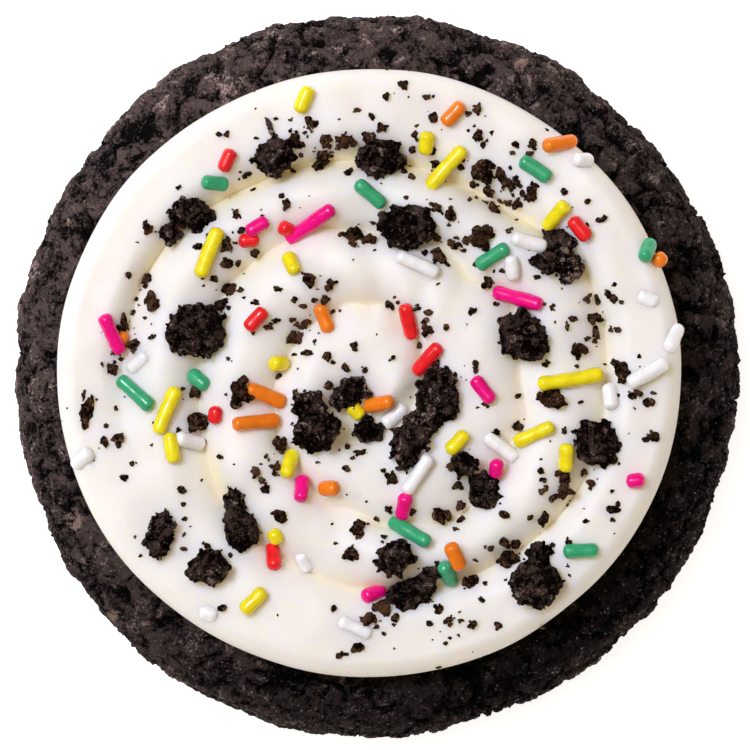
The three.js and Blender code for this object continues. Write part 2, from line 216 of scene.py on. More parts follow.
def end_tree(tree, geometry, material):
    """Closes a geometry tree: instances made real, smooth faces and the material."""
    real = put(tree, "GeometryNodeRealizeInstances", {"Geometry": geometry})
    smooth = put(tree, "GeometryNodeSetShadeSmooth", {0: real.outputs[0], "Shade Smooth": True})
    painted = put(tree, "GeometryNodeSetMaterial", {0: smooth.outputs[0], "Material": material})
    tree.links.new(painted.outputs[0], tree.nodes.new("NodeGroupOutput").inputs[0])


def bake(piece, modifier):
    """Keeps what a modifier makes of a piece as its plain mesh."""
    seen = piece.evaluated_get(bpy.context.evaluated_depsgraph_get())
    mesh = bpy.data.meshes.new_from_object(seen)
    piece.modifiers.remove(modifier)
    piece.data = mesh


def shape_with(piece, tree, values):
    """Runs a geometry tree on a piece and keeps its result as a plain mesh."""
    modifier = piece.modifiers.new(tree.name, "NODES")
    modifier.node_group = tree
    for item in tree.interface.items_tree:
        if item.in_out == "INPUT" and item.name in values:
            modifier[item.identifier] = values[item.name]
    bake(piece, modifier)
    piece.data.name = piece.name
    return piece


def crumbly_tree():
    """Pushes a surface in and out along its normals: lumps, flakes, grains and cracks, as 'relief' allows."""
    inputs = {f"{kind} {what}": "NodeSocketFloat" for kind in RELIEF_KINDS for what in ("Size", "Height")}
    inputs["Seed"] = "NodeSocketFloat"
    inputs["Material"] = "NodeSocketMaterial"
    tree, given = new_tree("crumbly", inputs)
    place = put(tree, "GeometryNodeInputPosition").outputs[0]
    normal = put(tree, "GeometryNodeInputNormal").outputs[0]

    def noise_of(size, detail):
        scale = sum_of(tree, "DIVIDE", 1.0, size)
        sockets = {"Vector": place, "W": given["Seed"], "Scale": scale, "Detail": detail}
        return put(tree, "ShaderNodeTexNoise", sockets, noise_dimensions="4D").outputs["Fac"]

    def cells_of(size, vector, feature):
        scale = sum_of(tree, "DIVIDE", 1.0, size)
        sockets = {"Vector": vector, "W": given["Seed"], "Scale": scale}
        return put(tree, "ShaderNodeTexVoronoi", sockets, voronoi_dimensions="4D", feature=feature).outputs

    def bent_by(size, reach):
        scale = sum_of(tree, "DIVIDE", 1.5, size)
        warp = put(tree, "ShaderNodeTexNoise", {"Vector": place, "Scale": scale, "Detail": 3.0})
        sway = scaled(tree, warp.outputs["Color"], sum_of(tree, "MULTIPLY", size, reach))
        return put(tree, "ShaderNodeVectorMath", {0: place, 1: sway}, operation="ADD").outputs[0]

    def centred(value, middle, height):
        return sum_of(tree, "MULTIPLY", sum_of(tree, "SUBTRACT", value, middle), height)

    lump_height = sum_of(tree, "MULTIPLY", given["Lump Height"], 2.0)
    lumps = centred(noise_of(given["Lump Size"], 2.0), 0.5, lump_height)

    # Flakes: cells that each stand at their own level, with a dome on top and a step between.
    torn = bent_by(given["Flake Size"], 0.9)
    flake = cells_of(given["Flake Size"], torn, "F1")
    level = put(tree, "ShaderNodeSeparateXYZ", {0: flake["Color"]}).outputs[0]
    dome = sum_of(tree, "MULTIPLY", flake["Distance"], 0.7)
    flakes = centred(sum_of(tree, "SUBTRACT", level, dome), 0.15, given["Flake Height"])

    # Grains: the same, smaller, and pointed rather than domed.
    grain = cells_of(given["Grain Size"], bent_by(given["Grain Size"], 0.5), "F1")
    grain_level = put(tree, "ShaderNodeSeparateXYZ", {0: grain["Color"]}).outputs[1]
    grains = sum_of(tree, "SUBTRACT", sum_of(tree, "MULTIPLY", grain_level, 0.7), grain["Distance"])
    grains = sum_of(tree, "MULTIPLY", grains, given["Grain Height"])

    # Cracks: the seams of large cells, open only here and there.
    plates = cells_of(given["Crack Size"], bent_by(given["Crack Size"], 1.1), "DISTANCE_TO_EDGE")
    crack = stretch(tree, plates["Distance"], 0.0, 0.075, 1.0, 0.0)
    open_here = stretch(tree, noise_of(given["Crack Size"], 1.0), 0.42, 0.58)
    crack = sum_of(tree, "MULTIPLY", sum_of(tree, "MULTIPLY", crack, open_here), given["Crack Height"])

    height = sum_of(tree, "ADD", sum_of(tree, "ADD", lumps, flakes), grains)
    height = sum_of(tree, "SUBTRACT", height, crack)
    height = sum_of(tree, "MULTIPLY", height, recall(tree, "relief", "FLOAT"))
    # The relief's height as a share, written down as 'high' so that the colour can paint shade into the low
    # parts.
    pits = sum_of(tree, "DIVIDE", height, sum_of(tree, "ADD", given["Lump Height"], given["Flake Height"]))
    kept = remember(tree, given["Geometry"], "high", "FLOAT", pits)
    push = scaled(tree, normal, height)
    moved = put(tree, "GeometryNodeSetPosition", {"Geometry": kept, "Offset": push})
    end_tree(tree, moved.outputs[0], given["Material"])
    return tree


def crumble(piece, material, seed, *reliefs):
    """Gives a piece its crumbly skin, from the size and height of each kind of relief in millimetres."""
    values = {"Seed": seed, "Material": material}
    for kind, (size, height) in zip(RELIEF_KINDS, reliefs):
        values[f"{kind} Size"] = size * MM
        values[f"{kind} Height"] = height * MM
    return shape_with(piece, crumbly, values)


def give(piece, name, values):
    """Writes one number for each point of a piece."""
    piece.data.attributes.new(name, "FLOAT", "POINT").data.foreach_set("value", values)


def baked_chocolate(name, gap, crumb, flake, chip, grain, open_share):
    """Baked chocolate: near black in its gaps, brown on its flakes, pale in its chips, with tiny glints. Its
    colour varies at random, and shade is also painted into the low parts of its relief and the edges of its
    grains.
    """
    material, skin = shader(name)
    tree = material.node_tree
    place = put(tree, "ShaderNodeTexCoord").outputs["Object"]

    def streaks(scale, detail, distortion):
        sockets = {"Vector": place, "Scale": scale, "Detail": detail, "Distortion": distortion}
        sockets["Roughness"] = 0.68
        return put(tree, "ShaderNodeTexNoise", sockets).outputs["Fac"]

    def written(label):
        return put(tree, "ShaderNodeAttribute", attribute_name=label).outputs["Fac"]

    def mix(factor, first, second):
        sockets = {"Factor": factor, 6: first, 7: second}
        return put(tree, "ShaderNodeMix", sockets, data_type="RGBA").outputs[2]

    grit = put(tree, "ShaderNodeTexVoronoi", {"Vector": place, "Scale": 1 / grain}).outputs["Distance"]
    # Painted light and shade: darker at the edges of the grains and in the low parts of the relief, paler on
    # the higher parts.
    painted_relief_shade = sum_of(tree, "MULTIPLY_ADD", grit, -0.22, sum_of(tree, "MULTIPLY", written("high"), 0.25))
    crumbled = sum_of(tree, "ADD", streaks(420.0, 6.0, 0.8), painted_relief_shade)
    colour = mix(stretch(tree, crumbled, open_share, open_share + 0.26), gap, crumb)
    flaked = sum_of(tree, "ADD", streaks(240.0, 7.0, 1.6), painted_relief_shade)
    colour = mix(stretch(tree, flaked, 0.44, 0.62), colour, flake)
    torn = sum_of(tree, "MULTIPLY_ADD", streaks(900.0, 5.0, 1.0), 1.6, sum_of(tree, "MULTIPLY", painted_relief_shade, 1.5))
    chipped = stretch(tree, sum_of(tree, "ADD", written("bare"), torn), 1.25, 1.7, 0.0, 0.75)
    colour = mix(chipped, colour, chip)
    # Painted light and shade from the 'crust' attribute: paler towards the lamps, darker away from them.
    paler = sum_of(tree, "ADD", written("crust"), 1.0)
    tree.links.new(scaled(tree, colour, paler), skin.inputs["Base Color"])

    sparks = put(tree, "ShaderNodeTexVoronoi", {"Vector": place, "Scale": 1 / GLINT_SIZE})
    spark = put(tree, "ShaderNodeSeparateColor", {0: sparks.outputs["Color"]}).outputs[1]
    spark = stretch(tree, spark, *GLINT_SHARE)
    tree.links.new(sum_of(tree, "MULTIPLY_ADD", spark, -0.45, 0.72), skin.inputs["Roughness"])
    tree.links.new(sum_of(tree, "MULTIPLY_ADD", spark, 0.85, 0.03), skin.inputs["Specular IOR Level"])

    grainy = streaks(2 / grain, 3.0, 0.0)
    height = sum_of(tree, "MULTIPLY_ADD", grainy, 0.9, sum_of(tree, "MULTIPLY", grit, -1.0))
    bump = put(tree, "ShaderNodeBump", {"Strength": 1.0, "Distance": 0.6 * grain, "Height": height})
    tree.links.new(bump.outputs[0], skin.inputs["Normal"])
    return material


def ease(value, low, high):
    """0 below low, 1 above high and smooth between."""
    share = min(1.0, max(0.0, (value - low) / (high - low)))
    return share * share * (3 - 2 * share)


def cookie_profile():
    """Distance out, height and relief of each row, from the foot's middle round the side to the seat's."""
    rows = [(COOKIE_FOOT * share, 0.0, 0.0) for share in FOOT_ROWS]
    lower = COOKIE_SIDE_ROWS // 3
    for row in range(COOKIE_SIDE_ROWS + 1):
        below = row < lower
        steps = lower if below else COOKIE_SIDE_ROWS - lower
        angle = math.pi / 2 * (row - lower) / steps
        inner = COOKIE_FOOT if below else COOKIE_SEAT
        rise = COOKIE_WIDEST if below else COOKIE_TOP - COOKIE_WIDEST
        reach = inner + (COOKIE_RADIUS - inner) * math.cos(angle)
        height = COOKIE_WIDEST + rise * math.sin(angle)
        rows.append((reach, height, ease(height, 0.0, COOKIE_WIDEST)))
    rows += [(COOKIE_SEAT * share, COOKIE_TOP, SEAT_RELIEF) for share in SEAT_ROWS]
    return rows


def bareness(point):
    """How far a point of the crust lies inside one of its pale chips."""
    if point.z < COOKIE_WIDEST / 2:
        return 0.0
    x = point.x / MM
    y = point.y / MM
    away = [2 * math.hypot(x - chip_x, y - chip_y) / wide for chip_x, chip_y, wide in COOKIE_CHIPS]
    return max(1 - ease(radii, *CHIP_FADE) for radii in away)


def painted_light_share(x, y):
    """Painted light and shade: how much paler or darker than its middle tone the crust is painted at a place,
    paler towards the lamps and along the far side's outer edge.
    """
    facing = (x * LIT_SIDE[0] + y * LIT_SIDE[1]) / COOKIE_RADIUS
    edge = ease(math.hypot(x, y), COOKIE_FOOT, COOKIE_RADIUS)
    return LIT_SIDE_SWING * facing + PAINTED_BOUNCE_RIM * edge * (1 - facing) / 2


def cookie_piece():
    """The cookie's smooth form as a fine grid round the Z axis."""
    rows = cookie_profile()
    points = []
    shares = []
    for column in range(COOKIE_COLUMNS):
        turn = 2 * math.pi * column / COOKIE_COLUMNS
        swell = sum(size * MM * math.cos(n * (turn - math.radians(peak))) for n, size, peak in COOKIE_SWELLS)
        for reach, height, share in rows:
            out = reach + swell * min(1.0, reach / COOKIE_FOOT) ** 4
            points.append((out * math.cos(turn), out * math.sin(turn), height))
            shares.append(share)
    count = len(rows)
    faces = []
    for column in range(COOKIE_COLUMNS):
        here = column * count
        there = (column + 1) % COOKIE_COLUMNS * count
        faces += [(here + i, there + i, there + i + 1, here + i + 1) for i in range(count - 1)]
    faces.append(tuple(reversed([column * count for column in range(COOKIE_COLUMNS)])))
    faces.append(tuple(column * count + count - 1 for column in range(COOKIE_COLUMNS)))
    piece = new_piece("cookie_crust", points, faces)
    give(piece, "relief", shares)
    give(piece, "bare", [bareness(Vector(point)) for point in points])
    # Painted light and shade, stored as 'crust': paler towards the lamps, darker away from them, paler along
    # the far rim.
    give(piece, "crust", [painted_light_share(x, y) for x, y, z in points])
    return piece


crumbly = crumbly_tree()
cookie_dough = baked_chocolate(
    "cookie_dough",
    gap=(0.0022, 0.0016, 0.0014, 1.0),
    crumb=(0.062, 0.044, 0.040, 1.0),
    flake=(0.25, 0.18, 0.165, 1.0),
    chip=(0.26, 0.18, 0.145, 1.0),
    grain=0.45 * MM,
    open_share=0.205,
)
cookie = crumble(cookie_piece(), cookie_dough, 1.0, *COOKIE_RELIEFS)
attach(cookie, "root")
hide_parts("cookie")


# ---- Icing ----
# Soft white icing, piped as one fat rope: it starts at the rim at the lower left, winds clockwise and inwards
# for two and a half turns, and ends round a pit. It settles onto the cookie and rounds off at its edge.

ICING_CENTRE = (-1.2 * MM, 0.6 * MM)
ICING_RADII = (46.8 * MM, 45.6 * MM)
ICING_FOOT = 15.6 * MM  # sunk a little into the crumbly seat
ICING_CREST = 24.6 * MM
INNER_RISE = 0.9 * MM
RISE_TURNS = (200, 600)  # degrees over which the rope climbs
ICING_WAVE = 0.3 * MM
WAVES = 5.3  # slow waves along one turn
OUTLINE_WANDER = 0.25 * MM
SLOW_BUMPS = (11 * MM, 0.55 * MM)  # length and height of the skin's unevenness
QUICK_BUMPS = (5 * MM, 0.3 * MM)
ICING_WHITE = (0.93, 0.885, 0.83, 1.0)
# Painted shade: the golden colour painted into the grooves, the more the lower a point lies under the rope's
# back.
ICING_GROOVE_SHADE = (0.945, 0.835, 0.55, 1.0)
ICING_GLOW = (1.0, 0.83, 0.46)  # how far each colour of light goes through, as shares of the reach
ICING_GLOW_REACH = 4 * MM
EDGE_ROUND = 2.8 * MM
EDGE_DROP = 0.25 * MM
EDGE_TUCK = math.radians(60)
EDGE_ROWS = 18
SWIRL_CENTRE = (1.05 * MM, -1.2 * MM)
SWIRL_START = -60  # degrees clockwise from the left
SWIRL_GROWN = 0  # where the rope has its full width
SWIRL_END = 870
GROOVE_OPENS = (-14, 28)  # between these degrees the first groove opens
ROPE_FACES = 30  # from one groove to the next
GROOVE_DEPTH = 3.2 * MM
GROOVE_GAPE = 1.6 * MM  # extra depth where the first two turns lie apart
GAPE_ANGLE = 75
GAPE_SPREAD = 48
GROOVE_STEP = 30
# Distance of the groove from the spiral's centre in millimetres, every 30 degrees of turn.
GROOVE_RADII = (
    41.2, 40.2, 39.3, 39.0, 35.6, 33.7, 32.0, 34.5, 33.3, 33.0, 31.5, 30.8, 30.0, 29.3, 27.9, 26.7,
    25.7, 22.5, 21.2, 21.3, 21.2, 21.4, 22.0, 21.0, 19.5, 17.7, 15.5, 15.0, 13.5, 11.7, 9.0, 6.8,
)
ROPE_CROWN = 2.0  # how flat the rope is on top
ROPE_CREASE = 0.8  # and how steeply it ends in its groove
PULSE_TURN = 16  # degrees between the soft bulges that the piping hand leaves along the inner turns
PULSE_GAIN = 1.8
PULSE_COMES = (280, 400)  # degrees where the bulges set in
PULSE_GOES = (780, 900)  # and where they die out
PULSE_SWAY = 1.0 * MM
PULSE_RISE = 0.65 * MM
PIT_CENTRE = (-3.3 * MM, -6.2 * MM)
PIT_RADIUS = 3.9 * MM
PIT_DEPTH = 3.2 * MM
PIT_WALL = 0.85 * PIT_DEPTH  # how deep the pit is at its wall
PIT_SINK = 0.15 * PIT_DEPTH  # and how much deeper in its middle
PIT_FROM = 990  # degrees of turn where the groove has become the pit's wall
TAIL_FROM = 1215  # and where the rope's tail starts to sink
TAIL_END = 1290  # and has reached the pit's bottom
SEARCH_STEPS = 30
SEARCH_PULL = 0.99
ICING_TOP_FROM = ICING_FOOT + 5 * MM  # what lies lower is the rounded edge


def blend(a, b, share):
    """From a to b."""
    return a + (b - a) * share


def pulse(turn, side):
    """How the rope swells and shrinks along the inner turns, from -1 to 1."""
    swing = PULSE_GAIN * noise.noise((turn / PULSE_TURN, side, 0.5))
    return swing * ease(turn, *PULSE_COMES) * (1 - ease(turn, *PULSE_GOES))


def groove_radius(turn):
    """Smooth line through the groove's distances."""
    place = (turn - SWIRL_START) / GROOVE_STEP
    last = len(GROOVE_RADII) - 1
    step = min(int(place), last - 1)
    t = place - step
    a, b, c, d = (GROOVE_RADII[min(max(step + i, 0), last)] for i in (-1, 0, 1, 2))
    curve = b + 0.5 * t * (c - a + t * (2 * a - 5 * b + 4 * c - d + t * (3 * (b - c) + d - a)))
    full = curve * MM + PULSE_SWAY * pulse(turn, 0.0)
    return blend(outline_radius(turn) - EDGE_ROUND, full, ease(turn, SWIRL_START, SWIRL_GROWN))


def heading(turn):
    """The way outwards at a turn, which runs clockwise from the left."""
    return -math.cos(math.radians(turn)), math.sin(math.radians(turn))


def outline_radius(turn):
    """Distance from the spiral's centre to the icing's oval outline."""
    dx, dy = heading(turn)
    width, depth = ICING_RADII
    x = SWIRL_CENTRE[0] - ICING_CENTRE[0]
    y = SWIRL_CENTRE[1] - ICING_CENTRE[1]
    a = (dx / width) ** 2 + (dy / depth) ** 2
    b = x * dx / width**2 + y * dy / depth**2
    c = (x / width) ** 2 + (y / depth) ** 2 - 1
    smooth = (-b + math.sqrt(b * b - a * c)) / a
    return smooth + OUTLINE_WANDER * noise.noise((3 * dx, 3 * dy, 5.0))


def crest_height(turn):
    """Height of the rope's back where it has its full width."""
    wave = ICING_WAVE * math.sin(WAVES * math.radians(turn))
    return ICING_CREST + INNER_RISE * ease(turn, *RISE_TURNS) + wave


def rope_crest(turn):
    """Height of the rope's back, which grows out of the rim beside the turn inside it."""
    inside = crest_height(turn + 360) - EDGE_DROP
    return blend(inside, crest_height(turn), ease(turn, SWIRL_START, SWIRL_GROWN))


def groove_height(turn):
    """Height of the groove's bottom."""
    apart = (turn - GAPE_ANGLE) / GAPE_SPREAD
    depth = GROOVE_DEPTH + GROOVE_GAPE * math.exp(-apart * apart)
    return rope_crest(turn) - depth * ease(turn, *GROOVE_OPENS)


def edge_point(turn, angle):
    """A point of the rounded edge, from tucked under to the top."""
    tuck = math.sin(EDGE_TUCK)
    share = (math.sin(angle) + tuck) / (1 + tuck)
    top = rope_crest(turn) - EDGE_DROP * ease(turn, SWIRL_START, SWIRL_GROWN)
    return outline_radius(turn) - EDGE_ROUND * (1 - math.cos(angle)), blend(ICING_FOOT, top, share)


def inner_line(turn):
    """A point of the line inside the rope: its groove, then the pit's wall, and at last the pit's middle."""
    dx, dy = heading(turn)
    if turn <= SWIRL_END:
        radius = groove_radius(turn)
        height = groove_height(turn)
        return Vector((SWIRL_CENTRE[0] + radius * dx, SWIRL_CENTRE[1] + radius * dy, height))
    inwards = ease(turn, SWIRL_END, PIT_FROM)
    radius = blend(groove_radius(SWIRL_END), PIT_RADIUS, inwards) * (1 - ease(turn, TAIL_FROM, TAIL_END))
    x = blend(SWIRL_CENTRE[0], PIT_CENTRE[0], inwards) + radius * dx
    y = blend(SWIRL_CENTRE[1], PIT_CENTRE[1], inwards) + radius * dy
    depth = blend(GROOVE_DEPTH, PIT_WALL, inwards) + PIT_SINK * ease(turn, TAIL_FROM, TAIL_END)
    return Vector((x, y, crest_height(SWIRL_END) - depth))


def icing_piece():
    """The icing as one closed skin: underside, rounded edge, and the rope turn by turn down into its pit."""
    points = []
    faces = []
    # How far each point lies under the rope's back, for the golden shade painted into the grooves.
    groove_shade = []

    def keep(point, low):
        points.append(Vector(point))
        groove_shade.append(low)
        return len(points) - 1

    def strip(left, right):
        for a, b, c, d in zip(left, left[1:], right[1:], right):
            corners = list(dict.fromkeys((a, b, c, d)))
            if len(corners) > 2:
                faces.append(corners)

    edge = []
    for turn in range(SWIRL_START, SWIRL_START + 360):
        dx, dy = heading(turn)
        column = []
        for row in range(EDGE_ROWS + 1):
            radius, height = edge_point(turn, blend(-EDGE_TUCK, math.pi / 2, row / EDGE_ROWS))
            place = (SWIRL_CENTRE[0] + radius * dx, SWIRL_CENTRE[1] + radius * dy, height)
            column.append(keep(place, 0.0))
        edge.append(column)
    for i, column in enumerate(edge):
        strip(column, edge[(i + 1) % 360])
    faces.append([column[0] for column in reversed(edge)])

    columns = [[edge[0][-1]] * (ROPE_FACES + 1)]
    middle = keep(inner_line(TAIL_END), PIT_DEPTH / GROOVE_DEPTH)
    for i, turn in enumerate(range(SWIRL_START + 1, TAIL_END + 360), start=1):
        column = [edge[i][-1] if i < 360 else columns[i - 360][-1]]
        outer = points[column[0]]
        inner = inner_line(turn) if turn < TAIL_END else points[middle]
        crest = rope_crest(min(turn, SWIRL_END)) + PULSE_RISE * pulse(turn, 7.0)
        crown = 1 - ease(turn, TAIL_FROM, TAIL_END)
        for j in range(1, ROPE_FACES + 1):
            share = j / ROPE_FACES
            across = 2 * share - 1
            floor = outer.z if across < 0 else inner.z
            shallow = abs(math.sin(math.pi / 2 * across)) ** ROPE_CROWN
            creased = 1 - (1 - abs(across) ** ROPE_CROWN) ** ROPE_CREASE
            opened = ease(turn - 360 if across < 0 else turn, *GROOVE_OPENS)
            fall = blend(shallow, creased, opened) * (crest - floor)
            slope = blend(outer.z, inner.z, ease(share, 0.0, 1.0))
            height = blend(slope, crest - fall, crown)
            point = outer.lerp(inner, share)
            if j == ROPE_FACES and turn >= TAIL_END:
                column.append(middle)
            else:
                column.append(keep((point.x, point.y, height), (crest - height) / GROOVE_DEPTH))
        strip(columns[-1], column)
        columns.append(column)

    # Soft unevenness of the whole surface, which dies out at its foot.
    for point in points:
        free = ease(point.z, ICING_FOOT, ICING_FOOT + 3 * MM)
        slow = noise.noise(point / SLOW_BUMPS[0]) * SLOW_BUMPS[1]
        quick = noise.noise(point / QUICK_BUMPS[0] + Vector((7, 3, 1))) * QUICK_BUMPS[1]
        point.z += free * (slow + quick)
    piece = new_piece("icing", points, faces)
    give(piece, "groove_shade", groove_shade)
    return piece


def icing_cream():
    """White icing with a satin skin: light goes into it and comes back warmer, and golden shade is painted
    into its grooves.
    """
    material, skin = shader("icing_cream")
    tree = material.node_tree
    place = put(tree, "ShaderNodeTexCoord").outputs["Object"]
    # Painted shade: golden colour mixed in the more a point lies under the rope's back.
    groove_shade = put(tree, "ShaderNodeAttribute", attribute_name="groove_shade").outputs["Fac"]
    sockets = {"Factor": stretch(tree, groove_shade, 0.2, 1.5), 6: ICING_WHITE, 7: ICING_GROOVE_SHADE}
    colour = put(tree, "ShaderNodeMix", sockets, data_type="RGBA")
    tree.links.new(colour.outputs[2], skin.inputs["Base Color"])
    skin.inputs["Subsurface Weight"].default_value = 0.8
    skin.inputs["Subsurface Radius"].default_value = ICING_GLOW
    skin.inputs["Subsurface Scale"].default_value = ICING_GLOW_REACH
    skin.inputs["Specular IOR Level"].default_value = 0.3
    satin = put(tree, "ShaderNodeTexNoise", {"Vector": place, "Scale": 90.0, "Detail": 2.0})
    roughness = stretch(tree, satin.outputs["Fac"], 0.3, 0.7, 0.42, 0.56)
    tree.links.new(roughness, skin.inputs["Roughness"])
    pores = put(tree, "ShaderNodeTexNoise", {"Vector": place, "Scale": 900.0, "Detail": 3.0})
    sockets = {"Strength": 0.12, "Distance": 0.12 * MM, "Height": pores.outputs["Fac"]}
    bump = put(tree, "ShaderNodeBump", sockets)
    tree.links.new(bump.outputs[0], skin.inputs["Normal"])
    return material


icing = icing_piece()
icing.data.shade_smooth()
icing.data.materials.append(icing_cream())
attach(icing, "root")
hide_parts("frosting")
icing_tree = BVHTree.FromObject(icing, bpy.context.evaluated_depsgraph_get())


def icing_height(x, y):
    """Height of the icing at a place or, beside it, at the first place inwards where its top begins."""
    for step in range(SEARCH_STEPS):
        hit = icing_tree.ray_cast(Vector((x, y, 2 * ICING_CREST)), Vector((0, 0, -1)))[0]
        if hit and hit.z > ICING_TOP_FROM:
            return hit.z
        x *= SEARCH_PULL
        y *= SEARCH_PULL
    return ICING_CREST


# ---- Sugar rods ----
# Extruded sugar rods about 2 mm thick, in six colours, with rounded ends and a thin shine. They were shaken
# over the soft icing and lie half sunk in it.

ROD_RADIUS = 1.12 * MM
ROD_CAP = 0.2 * MM  # how far a round end reaches past the length in the list
ROD_POINTS = 26
ROD_SIDES = 14
ROD_SINK = 0.35  # share of the radius that lies under the surface
ROD_BEND = 0.03  # how crooked a rod may be, as a share of half its length
ROD_GLOW = (1.0, 0.8, 0.7)  # how far each colour of light goes through, as shares of the reach
ROD_GLOW_REACH = 1.0 * MM
# Rods: middle x and y in millimetres, bearing in degrees from +X and length in millimetres. A fifth number is
# how many radii deeper the rod is sunk; it is below 0 where the rod lies on a chunk.
RODS = {
    "yellow": [
        (-10.9, 41.5, 67, 3.9), (7.4, 35.0, 82, 3.3), (10.4, 31.3, 48, 7.9),
        (-25.1, 18.6, 68, 7.7), (-12.8, 17.0, 113, 3.4), (26.8, 24.1, 50, 5.3),
        (29.0, -0.3, 9, 9.9), (-14.7, 2.0, 3, 3.0), (-31.4, -5.0, 67, 7.3),
        (-30.7, -10.6, 100, 4.3), (-3.1, -5.1, 135, 2.5), (12.0, -9.8, 47, 3.9),
        (23.5, -8.6, 24, 6.4), (28.3, -12.1, 88, 4.1), (-13.1, -13.0, 73, 4.6),
        (-15.2, -23.9, 120, 2.1), (-18.5, -33.5, 45, 4.5),
    ],
    "orange": [
        (11.4, 39.4, 48, 4.0), (27.4, 35.0, 11, 5.6), (42.4, 17.6, 135, 1.9),
        (-7.9, 8.8, 111, 4.2), (-16.6, -2.8, 158, 6.3), (-18.1, -6.8, 5, 7.4),
        (0.3, -4.0, 11, 4.6), (-7.2, -16.7, 3, 3.0), (11.7, -26.9, 114, 4.4),
        (-38.2, 5.7, 80, 2.0, 0.5),
    ],
    "red": [
        (-22.4, 32.4, 66, 3.3), (-13.6, 22.2, 160, 2.2, 0.5), (-19.2, 20.5, 7, 2.8, 0.55),
        (30.4, 22.2, 130, 3.9), (-18.1, 8.6, 48, 3.8), (4.7, 8.3, 104, 5.4),
        (7.6, 2.6, 49, 5.7), (-24.2, -5.7, 86, 2.4), (-15.5, -26.9, 96, 4.1),
    ],
    "pink": [
        (-10.0, 22.9, 35, 8.9), (-17.9, 22.5, 32, 3.4), (21.1, 11.8, 164, 8.0),
        (-39.6, 6.4, 115, 6.4), (15.9, -1.9, 128, 4.4), (38.7, -15.5, 5, 2.5),
        (17.9, -13.7, 86, 2.7, -2.0), (4.0, -19.4, 79, 4.0), (-11.3, -16.7, 84, 4.1),
        (-0.5, -32.4, 19, 3.7),
    ],
    "green": [
        (-24.3, 29.0, 173, 3.9), (-1.0, 27.4, 140, 5.3), (23.7, 31.1, 146, 5.1),
        (17.3, 18.0, 33, 5.5), (40.5, 19.0, 68, 4.0), (-36.2, -2.4, 138, 6.7),
        (-26.7, -0.4, 140, 3.5), (4.9, -23.2, 150, 7.3), (10.6, -29.5, 117, 4.7),
        (30.5, -26.0, 2, 5.0),
    ],
    "white": [
        (30.8, 32.5, 175, 3.2), (6.1, 16.8, 156, 6.7, 0.2), (22.8, 20.2, 164, 5.3),
        (20.2, 16.3, 97, 3.5), (40.6, 11.7, 156, 3.0, 1.0), (44.5, 5.8, 67, 5.0),
        (40.5, 0.6, 30, 6.6), (35.0, -2.9, 97, 3.8), (-35.7, 2.2, 43, 3.7, 0.9),
        (-28.0, -9.6, 166, 4.8), (2.6, -5.8, 42, 4.2), (18.6, -10.6, 144, 5.6, 0.3),
        (6.1, -14.6, 56, 6.5), (-10.9, -27.7, 120, 3.0, 1.0), (-3.3, -37.6, 156, 5.2, 1.2),
        (-25.2, -35.4, 166, 2.5, 1.0), (-44.1, -12.3, 39, 3.8, 0.7),
    ],
}
SUGAR = {
    "yellow": (1.0, 0.80, 0.012, 1.0),
    "orange": (1.0, 0.235, 0.012, 1.0),
    "red": (0.90, 0.014, 0.022, 1.0),
    "pink": (1.0, 0.0001, 0.25, 1.0),
    "green": (0.042, 0.42, 0.19, 1.0),
    "white": (1.0, 0.99, 0.985, 1.0),
}


def rods_tree():
    """Makes a round-ended rod along each line of its input."""
    inputs = {"Radius": "NodeSocketFloat", "Points": "NodeSocketInt", "Sides": "NodeSocketInt"}
    inputs["Material"] = "NodeSocketMaterial"
    tree, given = new_tree("sugar_rods", inputs)
    line = put(tree, "GeometryNodeMeshToCurve", {"Mesh": given["Geometry"]})
    even = put(tree, "GeometryNodeResampleCurve", {"Curve": line.outputs[0], "Count": given["Points"]})
    inside = put(tree, "GeometryNodeSplineParameter").outputs["Length"]
    whole = put(tree, "GeometryNodeSplineLength").outputs["Length"]
    to_end = sum_of(tree, "MINIMUM", inside, sum_of(tree, "SUBTRACT", whole, inside))
    share = sum_of(tree, "MINIMUM", sum_of(tree, "DIVIDE", to_end, given["Radius"]), 1.0)
    left = sum_of(tree, "SUBTRACT", 1.0, share)
    round_end = sum_of(tree, "SQRT", sum_of(tree, "SUBTRACT", 1.0, sum_of(tree, "POWER", left, 3.0)))
    place = put(tree, "GeometryNodeInputPosition").outputs[0]
    lumpy = put(tree, "ShaderNodeTexNoise", {"Vector": place, "Scale": 320.0, "Detail": 1.0}).outputs["Fac"]
    thick = sum_of(tree, "MULTIPLY", given["Radius"], stretch(tree, lumpy, 0.3, 0.7, 0.93, 1.06))
    thick = sum_of(tree, "MULTIPLY", thick, sum_of(tree, "MAXIMUM", round_end, 0.02))
    ring = put(tree, "GeometryNodeCurvePrimitiveCircle", {"Resolution": given["Sides"], "Radius": 1.0})
    sockets = {"Curve": even.outputs[0], "Profile Curve": ring.outputs[0], "Scale": thick, "Fill Caps": True}
    body = put(tree, "GeometryNodeCurveToMesh", sockets)
    end_tree(tree, body.outputs[0], given["Material"])
    return tree


